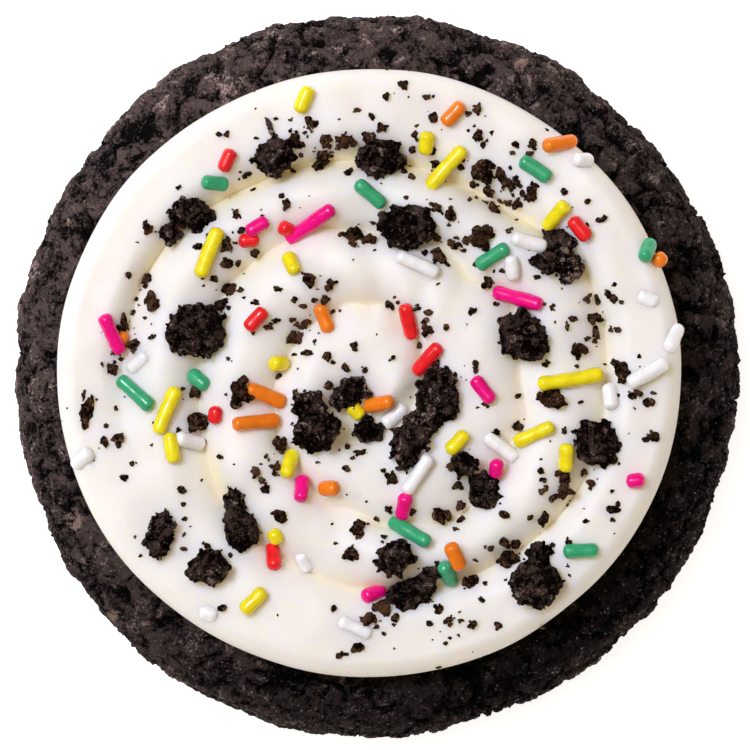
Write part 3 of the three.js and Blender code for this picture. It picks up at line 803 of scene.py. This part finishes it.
def sugar(name, colour):
    """Coloured sugar: slightly mottled, a little see-through, with a thin shine."""
    material, skin = shader(name)
    tree = material.node_tree
    place = put(tree, "ShaderNodeTexCoord").outputs["Object"]
    mottle = put(tree, "ShaderNodeTexNoise", {"Vector": place, "Scale": 700.0, "Detail": 3.0})
    tone = stretch(tree, mottle.outputs["Fac"], 0.3, 0.7)
    pale = tuple(min(1.0, part * 1.08 + 0.004) for part in colour[:3]) + (1.0,)
    deep = tuple(part * 0.9 for part in colour[:3]) + (1.0,)
    mixed = put(tree, "ShaderNodeMix", {"Factor": tone, 6: deep, 7: pale}, data_type="RGBA")
    tree.links.new(mixed.outputs[2], skin.inputs["Base Color"])
    skin.inputs["Subsurface Weight"].default_value = 0.4
    skin.inputs["Subsurface Radius"].default_value = ROD_GLOW
    skin.inputs["Subsurface Scale"].default_value = ROD_GLOW_REACH
    skin.inputs["Roughness"].default_value = 0.13
    skin.inputs["Specular IOR Level"].default_value = 0.5
    sockets = {"Strength": 0.25, "Distance": 0.06 * MM, "Height": mottle.outputs["Fac"]}
    bump = put(tree, "ShaderNodeBump", sockets)
    tree.links.new(bump.outputs[0], skin.inputs["Normal"])
    return material


def rod_line(x, y, bearing, length, deeper=0.0):
    """The three points of a rod's middle line, laid along the icing."""
    middle = Vector((x, y, 0)) * MM
    angle = math.radians(bearing)
    along = Vector((math.cos(angle), math.sin(angle), 0))
    half = length * MM / 2 + ROD_CAP
    reach = max(half - ROD_RADIUS, ROD_RADIUS / 2)
    centre = icing_height(middle.x, middle.y)
    ends = []
    for side in (-1, 1):
        tip = middle + side * reach * along
        ends.append(icing_height(tip.x, tip.y))
    hump = max(0.0, centre - sum(ends) / 2)
    lift = hump + ROD_RADIUS * (1 - ROD_SINK - deeper)
    slope = (ends[1] - ends[0]) / (2 * reach)
    middle.z = sum(ends) / 2 + lift
    direction = (along + Vector((0, 0, slope))).normalized()
    bend = Vector((-along.y, along.x, 0)) * random.uniform(-ROD_BEND, ROD_BEND) * half
    return middle - half * direction, middle + bend, middle + half * direction


random.seed(5)
sugar_rods = rods_tree()
for colour, rows in RODS.items():
    lines = [point for row in rows for point in rod_line(*row)]
    edges = [(3 * i + j, 3 * i + j + 1) for i in range(len(rows)) for j in (0, 1)]
    piece = new_piece(f"sugar_rods_{colour}", lines, edges=edges)
    shape_with(piece, sugar_rods, {
        "Radius": ROD_RADIUS,
        "Points": ROD_POINTS,
        "Sides": ROD_SIDES,
        "Material": sugar(f"sugar_{colour}", SUGAR[colour]),
    })
    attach(piece, "root")


# ---- Chunks of biscuit ----
# Lumps broken off a dark chocolate biscuit, 5 to 15 mm long, with torn, grainy faces. Each is pressed lightly
# into the icing, and is one to three lobes grown together.

CHUNK_TALLNESS = 0.84  # height of a lobe as a share of its width
CHUNK_LIFT = 0.22
CHUNK_VOXEL = 0.24 * MM
CHUNK_RELIEFS = ((2.6, 0.3), (1.5, 0.4), (0.6, 0.18), (3.0, 0.45))  # in the order of the cookie's
SCRAPS = 0.85  # how many scraps cling to a lobe for each square millimetre of it
SCRAP_SIZES = (0.7 * MM, 2.2 * MM)
LOBE_DENT = 0.3  # how dented a lobe is, and a scrap
SCRAP_DENT = 0.5
CHUNK_FEET = ((0, 0), (1, 0), (-1, 0), (0, 1), (0, -1))  # where a lobe feels for the icing
# Lobes in millimetres: x, y, length, width, bearing of the length in degrees.
CHUNKS = [
    [(9.0, -2.9, 8.4, 6.3, 85), (5.4, -9.2, 10.2, 5.4, 62)],
    [(-9.0, -7.9, 7.2, 6.3, 60), (-10.3, -3.8, 5.1, 3.9, 20)],
    [(-4.2, -2.4, 6.3, 3.9, 30)],
    [(-1.2, -8.1, 4.8, 3.3, -15)],
    [(-27.0, 7.0, 9.0, 7.8, 10)],
    [(4.3, 22.6, 9.0, 6.6, 0)],
    [(0.4, 33.0, 6.9, 6.3, 20)],
    [(-15.5, 33.0, 6.4, 5.0, 20), (-15.9, 37.2, 4.6, 0.9, 116), (-12.6, 35.2, 3.0, 1.8, 50)],
    [(26.8, 19.8, 5.7, 4.8, 40), (28.6, 15.8, 4.5, 3.6, 60), (25.2, 17.2, 3.9, 3.3, 0)],
    [(21.9, 6.1, 8.7, 6.6, -40)],
    [(33.0, -9.8, 7.8, 6.9, -30)],
    [(23.7, -30.9, 7.8, 7.2, 0), (24.4, -26.7, 4.2, 3.6, 60)],
    [(5.0, -32.4, 6.9, 5.1, 10), (7.9, -29.8, 3.6, 2.7, 40)],
    [(2.7, -27.0, 6.0, 5.1, 45)],
    [(-20.2, -23.0, 7.4, 5.4, 95), (-21.0, -18.6, 5.0, 3.0, 102)],
    [(-25.2, -28.6, 6.3, 5.4, 10)],
    [(-32.4, -23.6, 6.6, 4.2, 80)],
    [(13.0, -13.0, 4.2, 3.6, 0), (16.2, -16.9, 6.0, 4.8, -60)],
    [(-28.1, 24.5, 7.4, 4.9, -10), (-31.4, 21.7, 3.6, 3.0, -40)],
]


def ball(detail):
    """Points and faces of a unit ball."""
    form = bmesh.new()
    bmesh.ops.create_icosphere(form, subdivisions=detail, radius=1.0)
    points = [vertex.co.copy() for vertex in form.verts]
    faces = [tuple(vertex.index for vertex in face.verts) for face in form.faces]
    form.free()
    return points, faces


LOBE_BALL = ball(4)
SCRAP_BALL = ball(2)


def lump(skin, form, centre, size, turn, dent):
    """Adds a dented ball to a skin of points and faces."""
    points, faces = skin
    first = len(points)
    away = Vector((random.uniform(-50, 50), 0, 0))
    for point in form[0]:
        push = 1 + dent * noise.noise(point * 1.4 + away)
        points.append(centre + turn @ Vector(p * s * push for p, s in zip(point, size)))
    faces += [tuple(first + corner for corner in face) for face in form[1]]


def chunk_piece(name, lobes):
    """A chunk: eggs of biscuit with scraps on them, grown into one skin."""
    skin = ([], [])
    for x, y, length, width, bearing in lobes:
        feet = [((x + i * width / 4) * MM, (y + j * width / 4) * MM) for i, j in CHUNK_FEET]
        heights = [icing_height(*foot) for foot in feet]
        centre = Vector((x * MM, y * MM, sum(heights) / len(heights) + CHUNK_LIFT * width * MM))
        size = Vector((length, width, CHUNK_TALLNESS * width)) * MM / 2
        turn = Matrix.Rotation(math.radians(bearing), 3, "Z")
        lump(skin, LOBE_BALL, centre, 0.94 * size, turn, LOBE_DENT)
        for scrap in range(int(SCRAPS * length * width)):
            way = Vector((random.gauss(0, 1), random.gauss(0, 1), abs(random.gauss(0, 0.8)) - 0.1))
            reach = Vector(w * s for w, s in zip(way.normalized(), size))
            spot = centre + turn @ reach * random.uniform(0.86, 1.02)
            broad = min(random.uniform(*SCRAP_SIZES), 0.8 * width * MM)
            form = Vector((broad, broad * random.uniform(0.5, 0.9), broad * random.uniform(0.4, 0.9))) / 2
            tumble = Euler([random.uniform(0, 6.28) for axis in range(3)]).to_matrix()
            lump(skin, SCRAP_BALL, spot, form, tumble, SCRAP_DENT)
    piece = new_piece(name, *skin)
    fused = piece.modifiers.new("fused", "REMESH")
    fused.mode = "VOXEL"
    fused.voxel_size = CHUNK_VOXEL
    bake(piece, fused)
    give(piece, "relief", [1.0] * len(piece.data.vertices))
    return piece


random.seed(31)
chunk_biscuit = baked_chocolate(
    "chunk_biscuit",
    gap=(0.0025, 0.0009, 0.0005, 1.0),
    crumb=(0.066, 0.041, 0.034, 1.0),
    flake=(0.33, 0.235, 0.195, 1.0),
    chip=(0.34, 0.24, 0.195, 1.0),
    grain=0.4 * MM,
    open_share=0.26,
)
for number, lobes in enumerate(CHUNKS, start=1):
    name = f"chunk_{number:02d}"
    piece = crumble(chunk_piece(f"biscuit_{name}", lobes), chunk_biscuit, 2.0 + number, *CHUNK_RELIEFS)
    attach(piece, "root")
    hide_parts(name)


# ---- Crumbs ----
# What fell off the chunks: crumbs of 1 to 6 mm, each a few grains stuck together, and finer ones that lie
# mostly beside the larger pieces. They are the same dark biscuit in a lighter, warmer copy of its colours,
# and are a little sunk in the icing.

# Crumbs in millimetres: x, y, width, depth.
CRUMBS = [
    (-20.6, -2.2, 4.2, 4.2), (-27.3, -7.2, 5.1, 3.6), (-43.5, -5.1, 2.4, 6.3), (-38.7, -9.3, 2.4, 2.4),
    (-39.6, 1.3, 2.5, 2.5), (-36.6, 4.8, 2.5, 2.5), (-33.8, 10.8, 2.7, 3.8), (-22.3, 12.9, 2.5, 2.5),
    (-27.6, -2.4, 2.4, 2.4), (-14.8, -20.8, 2.5, 2.5), (-3.1, -22.9, 3.0, 3.0), (-4.0, -26.6, 2.7, 2.7),
    (9.4, -20.8, 2.7, 3.9), (14.1, -30.9, 2.7, 3.6), (0.8, -34.6, 2.7, 2.7), (-1.3, -36.4, 2.7, 2.7),
    (19.4, -27.0, 4.2, 4.2), (24.9, -21.1, 1.8, 3.0), (35.4, -19.9, 2.7, 2.1), (26.1, -3.4, 5.0, 3.9),
    (36.6, 0.9, 3.3, 3.9), (30.4, 4.2, 3.0, 3.0), (32.4, 8.8, 3.0, 2.4), (27.8, -17.1, 3.0, 3.0),
    (28.2, -15.0, 2.4, 2.4), (15.6, 20.7, 3.8, 3.8), (9.2, 18.1, 2.4, 2.4), (-10.0, 14.7, 2.4, 2.4),
    (-12.6, 6.1, 3.1, 2.7), (7.3, 7.2, 2.7, 2.2), (2.2, -15.1, 2.1, 2.7), (-14.8, -10.3, 2.7, 3.0),
    (-4.6, 35.4, 2.7, 3.0), (-7.8, 35.2, 2.7, 2.7), (-8.2, 33.0, 3.4, 3.6), (-1.5, 35.9, 2.4, 2.4),
    (16.1, 30.9, 4.5, 3.9), (17.6, 25.1, 2.1, 2.7), (-3.6, 21.3, 3.0, 3.9), (-1.1, 20.7, 2.4, 2.4),
    (23.2, 27.6, 2.4, 3.3), (18.8, 29.7, 2.4, 3.6), (-22.6, 19.8, 2.2, 2.4), (-22.7, 17.1, 2.7, 1.8),
    (-26.6, 19.6, 1.3, 1.3), (-20.0, 30.0, 1.1, 1.1),
    (-37.9, 8.1, 1.5, 3.3), (-34.6, 14.5, 2.2, 2.2), (-23.4, 10.5, 2.2, 2.2), (9.2, -34.9, 1.5, 2.4),
    (10.7, -36.4, 1.8, 1.8), (-3.1, -40.6, 2.7, 1.8), (-5.4, -41.5, 2.4, 1.5), (21.0, -7.5, 2.1, 2.1),
    (40.9, -3.8, 2.4, 1.8), (41.5, -8.8, 2.1, 2.1), (32.9, 6.5, 1.5, 2.7), (31.5, 11.7, 1.8, 1.8),
    (33.1, 11.7, 1.8, 1.8), (32.2, -16.1, 1.8, 1.8), (12.0, 19.8, 2.4, 1.8), (16.8, 14.2, 2.2, 2.2),
    (-10.7, 8.2, 1.6, 2.1), (-7.8, 11.4, 2.1, 2.1), (-3.4, 4.6, 1.5, 1.8), (1.9, 10.8, 1.8, 1.8),
    (14.1, 9.9, 1.6, 1.6), (11.4, 0.1, 1.2, 1.8), (-2.4, -11.4, 2.4, 1.2), (-15.1, -13.3, 1.8, 1.8),
    (-18.3, -14.2, 1.8, 1.8), (3.8, 43.8, 1.8, 1.8), (15.0, 40.0, 1.9, 1.9), (15.0, 36.1, 2.1, 2.1),
    (8.8, 31.9, 2.1, 1.5), (5.4, 34.0, 1.5, 1.5), (0.6, 37.4, 1.8, 1.8), (-9.8, 37.8, 1.8, 1.8),
    (-12.3, 35.7, 2.1, 2.4), (-21.1, 24.4, 1.5, 2.1), (-34.4, 22.3, 1.5, 2.4), (16.9, 27.8, 2.1, 2.4),
    (8.7, 25.6, 2.4, 1.8), (11.1, 24.4, 2.1, 2.4), (-13.5, 25.6, 1.5, 2.1), (23.4, 34.9, 1.8, 1.8),
    (20.2, 28.5, 1.8, 1.8), (21.0, 26.2, 1.5, 2.4), (33.9, 23.7, 1.2, 1.2),
]
FINE_CRUMBS = 560
FINE_SMALLEST = 0.35  # millimetres
FINE_LARGEST = 2.1
FINE_REACH = 4.2  # how far from a larger piece most of them lie
FINE_BESIDE = 0.82  # share of them that lie beside a larger piece
FINE_FIELD = 43  # radius of the round field where the others lie
FINE_SKEW = 1.7  # above 1, the smaller the more
GRAIN_CUTS = 8
GRAIN_CORE = 0.42  # distance of the nearest cut from a grain's middle, as a share of its radius
CUT_STEP = 0.04  # how much further out each next cut lies
GRAIN_TURN = Vector((0.6, 0.6, 0.35))  # how far a grain may be turned about each axis, in radians


def crumbs_tree():
    """Puts a broken grain on each point: a ball as large as 'grain_size' says, cut flat all round."""
    inputs = {"Facets": "NodeSocketInt", "Ragged": "NodeSocketFloat", "Jag Size": "NodeSocketFloat"}
    inputs["Seed"] = "NodeSocketInt"
    inputs["Material"] = "NodeSocketMaterial"
    tree, given = new_tree("crumbs", inputs)

    def combined(operation, first, second):
        node = put(tree, "ShaderNodeVectorMath", {0: first, 1: second}, operation=operation)
        return node.outputs["Value" if operation == "DOT_PRODUCT" else 0]

    place = put(tree, "GeometryNodeInputPosition").outputs[0]
    size = recall(tree, "grain_size", "FLOAT_VECTOR")
    sockets = {"Radius": 0.5, "Subdivisions": given["Facets"]}
    grain = put(tree, "GeometryNodeMeshIcoSphere", sockets).outputs[0]
    grain = remember(tree, grain, "way", "FLOAT_VECTOR", combined("MULTIPLY", place, (2.0, 2.0, 2.0)))
    spots = put(tree, "GeometryNodeMeshToPoints", {"Mesh": given["Geometry"]}).outputs[0]
    spots = remember(tree, spots, "spot", "FLOAT_VECTOR", place)
    spots = remember(tree, spots, "which", "INT", put(tree, "GeometryNodeInputIndex").outputs[0])
    sockets = {0: -GRAIN_TURN, 1: GRAIN_TURN, "Seed": given["Seed"]}
    turn = put(tree, "FunctionNodeRandomValue", sockets, data_type="FLOAT_VECTOR").outputs[0]
    sockets = {"Points": spots, "Instance": grain, "Scale": size, "Rotation": turn}
    set_out = put(tree, "GeometryNodeInstanceOnPoints", sockets)
    real = put(tree, "GeometryNodeRealizeInstances", {"Geometry": set_out.outputs[0]}).outputs[0]

    # The cuts: each is a plane across one way out of the grain, some distance from its middle.
    way = recall(tree, "way", "FLOAT_VECTOR")
    which = recall(tree, "which", "INT")
    reach = 1.0
    for cut in range(GRAIN_CUTS):
        seed = sum_of(tree, "ADD", given["Seed"], 100.0 + cut)
        facing = put(tree, "FunctionNodeRandomValue", {"ID": which, "Seed": seed}, data_type="FLOAT_VECTOR")
        facing.inputs[0].default_value = (-1.0, -1.0, -1.0)
        facing = put(tree, "ShaderNodeVectorMath", {0: facing.outputs[0]}, operation="NORMALIZE").outputs[0]
        towards = sum_of(tree, "MAXIMUM", combined("DOT_PRODUCT", way, facing), 0.05)
        reach = sum_of(tree, "MINIMUM", reach, sum_of(tree, "DIVIDE", GRAIN_CORE + CUT_STEP * cut, towards))
    spot = recall(tree, "spot", "FLOAT_VECTOR")
    cut_place = combined("ADD", spot, scaled(tree, combined("SUBTRACT", place, spot), reach))
    scale = sum_of(tree, "DIVIDE", 1.0, given["Jag Size"])
    jag = put(tree, "ShaderNodeTexNoise", {"Vector": place, "Scale": scale, "Detail": 2.0})
    broad = put(tree, "ShaderNodeVectorMath", {0: size}, operation="LENGTH").outputs["Value"]
    push = combined("SUBTRACT", jag.outputs["Color"], (0.5, 0.5, 0.5))
    push = scaled(tree, push, sum_of(tree, "MULTIPLY", broad, given["Ragged"]))
    sockets = {"Geometry": real, "Position": combined("ADD", cut_place, push)}
    moved = put(tree, "GeometryNodeSetPosition", sockets)
    end_tree(tree, moved.outputs[0], given["Material"])
    return tree


def crumbs_piece(name, rows, grains, facets, jag, seed):
    """All crumbs of one list as one piece: each a few grains stuck together, a little sunk in the icing."""
    points = []
    sizes = []
    for x, y, width, depth in rows:
        ground = icing_height(x * MM, y * MM)
        for grain in range(random.randint(*grains)):
            share = 0.95 if grain == 0 else random.uniform(0.3, 0.6)
            angle = random.uniform(0, 2 * math.pi)
            away = 0.0 if grain == 0 else random.uniform(0.28, 0.42)
            wide = share * width * MM
            deep = share * depth * MM
            high = random.uniform(0.6, 0.85) * min(wide, deep)
            spot_x = (x + away * width * math.cos(angle)) * MM
            spot_y = (y + away * depth * math.sin(angle)) * MM
            points.append((spot_x, spot_y, ground + random.uniform(0.2, 0.4) * high))
            sizes += [wide, deep, high]
    piece = new_piece(name, points)
    piece.data.attributes.new("grain_size", "FLOAT_VECTOR", "POINT").data.foreach_set("vector", sizes)
    values = {"Facets": facets, "Ragged": 0.3, "Jag Size": jag, "Seed": seed, "Material": crumb_biscuit}
    shape_with(piece, crumbs, values)
    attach(piece, "root")


def fine_crumbs():
    """Fine crumbs, seeded: most beside a larger piece, the rest anywhere on the icing."""
    lobes = [lobe for lobes in CHUNKS for lobe in lobes]
    sources = [(x, y, width) for x, y, length, width, bearing in lobes] * 2
    sources += [(x, y, width) for x, y, width, depth in CRUMBS] * 2
    rows = []
    while len(rows) < FINE_CRUMBS:
        if random.random() < FINE_BESIDE:
            x, y, width = random.choice(sources)
            angle = random.uniform(0, 2 * math.pi)
            away = width / 2 + abs(random.gauss(0, FINE_REACH / 1.6))
            x += away * math.cos(angle)
            y += away * math.sin(angle)
        else:
            angle = random.uniform(0, 2 * math.pi)
            away = FINE_FIELD * math.sqrt(random.random())
            x = away * math.cos(angle)
            y = away * math.sin(angle)
        width = FINE_SMALLEST + (FINE_LARGEST - FINE_SMALLEST) * random.random() ** FINE_SKEW
        rows.append((x, y, width, width * random.uniform(0.6, 1.2)))
    return rows


random.seed(17)
crumb_biscuit = baked_chocolate(
    "crumb_biscuit",
    gap=(0.005, 0.0018, 0.0006, 1.0),
    crumb=(0.098, 0.046, 0.023, 1.0),
    flake=(0.27, 0.165, 0.105, 1.0),
    chip=(0.29, 0.175, 0.11, 1.0),
    grain=0.4 * MM,
    open_share=0.28,
)
crumbs = crumbs_tree()
crumbs_piece("biscuit_crumbs_large", CRUMBS, (3, 6), 3, 0.9 * MM, 3)
crumbs_piece("biscuit_crumbs_fine", fine_crumbs(), (1, 3), 2, 0.5 * MM, 4)
